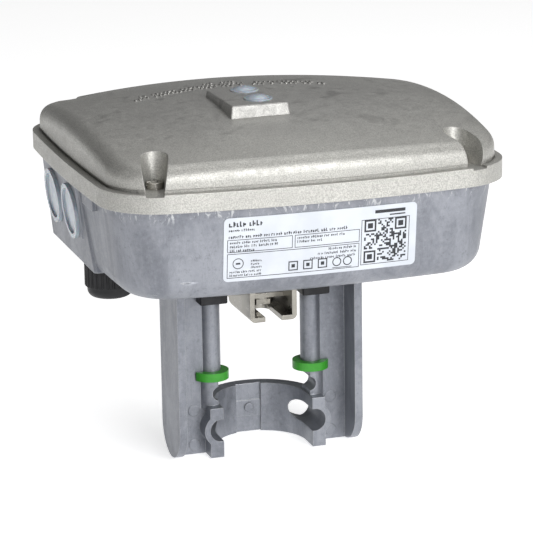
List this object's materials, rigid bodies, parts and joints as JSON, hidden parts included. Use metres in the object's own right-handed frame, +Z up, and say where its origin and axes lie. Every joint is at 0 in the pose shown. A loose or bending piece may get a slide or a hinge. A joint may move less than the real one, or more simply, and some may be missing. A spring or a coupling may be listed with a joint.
{
  "type": "motorised actuator head",
  "caption": "Motorised linear actuator head for a heating valve: cast housing with pillow cover, gear train and spring, and a yoke with a sliding crosshead and stroke rings.",
  "frame": {"origin": "on the valve-neck axis at the collar bottom face", "axes": "+Z up the stem towards the housing, -Y towards the side with the label, +X to the right seen from there"},
  "size_m": [0.1914, 0.1878, 0.1791],
  "materials": {
    "cast_alloy": "raw die-cast, satin",
    "cover_lacquer": "fine metallic lacquer",
    "steel_screws": "satin",
    "zinc_plate": "bright zinc plate",
    "turned_steel": "turned",
    "plate_steel": "rolled sheet",
    "pillar_brass": "turned",
    "gear_plastic": "moulded",
    "bearing_bronze": "sintered",
    "spring_steel": "blued",
    "motor_can": "plated",
    "black_plastic": "fine texture",
    "green_plastic": "smooth",
    "clear_plugs": "translucent",
    "seal_rubber": "matte",
    "label_film": "printed film",
    "board_laminate": "solder mask",
    "terminal_green": "moulded",
    "switch_red": "moulded",
    "switch_white": "moulded",
    "button_black": "moulded",
    "capacitor_sleeve": "sleeved"
  },
  "bodies": {
    "housing": {"yoke": "cast_alloy", "housing_base": "cast_alloy", "yoke_screws": "steel_screws", "plate_screws": "steel_screws", "board_screws": "steel_screws", "idler_shaft": "turned_steel", "gear_plate_lower": "plate_steel", "gear_plate_upper": "plate_steel", "spring_lid": "plate_steel", "spring_case": "plate_steel", "plate_pillars": "pillar_brass", "board_spacers": "pillar_brass", "terminal_screws": "pillar_brass", "bearing_lower": "bearing_bronze", "bearing_upper": "bearing_bronze", "override_bush": "bearing_bronze", "return_spring": "spring_steel", "gear_motor": "motor_can", "gland_body": "black_plastic", "gland_nut": "black_plastic", "position_sensor": "black_plastic", "relay": "black_plastic", "side_plug_front": "clear_plugs", "side_plug_back": "clear_plugs", "cover_gasket": "seal_rubber", "gland_seal": "seal_rubber", "rating_label": "label_film", "circuit_board": "board_laminate", "terminal_block_side": "terminal_green", "terminal_block_front": "terminal_green", "dip_switch_body": "switch_red", "button_body": "button_black", "capacitor": "capacitor_sleeve"},
    "crosshead": {"crossbar": "turned_steel", "guide_block_left": "black_plastic", "guide_block_right": "black_plastic", "stem_bracket": "zinc_plate", "lead_screw": "turned_steel", "bracket_nut": "zinc_plate"},
    "drive_gear": {"drive_gear": "gear_plastic"},
    "idler": {"idler_gear": "gear_plastic"},
    "motor_pinion": {"motor_pinion": "pillar_brass"},
    "override_spindle": {"override_spindle": "turned_steel"},
    "spring_gear": {"spring_gear": "gear_plastic"},
    "sensor_gear": {"sensor_gear": "gear_plastic"},
    "ring_left": {"indicator_ring_left": "green_plastic"},
    "ring_right": {"indicator_ring_right": "green_plastic"},
    "lid": {"cover": "cover_lacquer", "cover_screws": "steel_screws"},
    "plug_front": {"top_plug_front": "clear_plugs"},
    "plug_rear": {"top_plug_rear": "clear_plugs"},
    "setup_button": {"setup_button": "switch_white"},
    "dip_1": {"dip_slider_1": "switch_white"},
    "dip_2": {"dip_slider_2": "switch_white"},
    "dip_3": {"dip_slider_3": "switch_white"},
    "dip_4": {"dip_slider_4": "switch_white"}
  },
  "joints": [
    {"name": "drive_gear_turn", "type": "hinge", "parent": "housing", "child": "drive_gear", "pos_m": [0, 0, 0.115], "axis": [0, 0, 1], "range_deg": [0, 450], "stiffness_Nm_per_rad": 0.05, "springref_deg": -229.18},
    {"name": "crosshead_slide", "type": "slide", "parent": "housing", "child": "crosshead", "axis": [0, 0, -1], "range_m": [0, 0.0251]},
    {"name": "idler_turn", "type": "hinge", "parent": "housing", "child": "idler", "pos_m": [0.02594, -0.03322, 0.115], "axis": [0, 0, 1], "range_deg": [-2260, 10]},
    {"name": "motor_pinion_turn", "type": "hinge", "parent": "housing", "child": "motor_pinion", "pos_m": [0.0578, -0.01836, 0.115], "axis": [0, 0, 1], "range_deg": [-10, 9010]},
    {"name": "override_turn", "type": "hinge", "parent": "housing", "child": "override_spindle", "pos_m": [-0.0092, -0.03265, 0.115], "axis": [0, 0, 1], "range_deg": [-10, 9010]},
    {"name": "spring_gear_turn", "type": "hinge", "parent": "housing", "child": "spring_gear", "pos_m": [-0.00853, 0.0484, 0.115], "axis": [0, 0, 1], "range_deg": [-1135, 10]},
    {"name": "sensor_gear_turn", "type": "hinge", "parent": "housing", "child": "sensor_gear", "pos_m": [-0.04243, -0.01544, 0.115], "axis": [0, 0, 1], "range_deg": [-1585, 10]},
    {"name": "ring_left_slide", "type": "slide", "parent": "housing", "child": "ring_left", "axis": [0, 0, 1], "range_m": [0, 0.0085]},
    {"name": "ring_right_slide", "type": "slide", "parent": "housing", "child": "ring_right", "axis": [0, 0, 1], "range_m": [0, 0.0085]},
    {"name": "lid_lift", "type": "slide", "parent": "housing", "child": "lid", "axis": [0, 0, 1], "range_m": [0, 0.06]},
    {"name": "plug_front_pull", "type": "slide", "parent": "lid", "child": "plug_front", "axis": [0, 0, 1], "range_m": [0, 0.012]},
    {"name": "plug_rear_pull", "type": "slide", "parent": "lid", "child": "plug_rear", "axis": [0, 0, 1], "range_m": [0, 0.012]},
    {"name": "setup_button_press", "type": "slide", "parent": "housing", "child": "setup_button", "axis": [0, 0, -1], "range_m": [0, 0.0012], "stiffness_N_per_m": 800, "springref_m": -0.0005},
    {"name": "dip_1_slide", "type": "slide", "parent": "housing", "child": "dip_1", "axis": [0, 1, 0], "range_m": [0, 0.0016]},
    {"name": "dip_2_slide", "type": "slide", "parent": "housing", "child": "dip_2", "axis": [0, 1, 0], "range_m": [0, 0.0016]},
    {"name": "dip_3_slide", "type": "slide", "parent": "housing", "child": "dip_3", "axis": [0, 1, 0], "range_m": [0, 0.0016]},
    {"name": "dip_4_slide", "type": "slide", "parent": "housing", "child": "dip_4", "axis": [0, 1, 0], "range_m": [0, 0.0016]}
  ],
  "couplings": [
    {"joint": "crosshead_slide", "follows": "drive_gear_turn", "m_per_rad": 0.0031831},
    {"joint": "idler_turn", "follows": "drive_gear_turn", "ratio": -5},
    {"joint": "motor_pinion_turn", "follows": "drive_gear_turn", "ratio": 20},
    {"joint": "override_turn", "follows": "drive_gear_turn", "ratio": 20},
    {"joint": "spring_gear_turn", "follows": "drive_gear_turn", "ratio": -2.5},
    {"joint": "sensor_gear_turn", "follows": "drive_gear_turn", "ratio": -3.5}
  ]
}
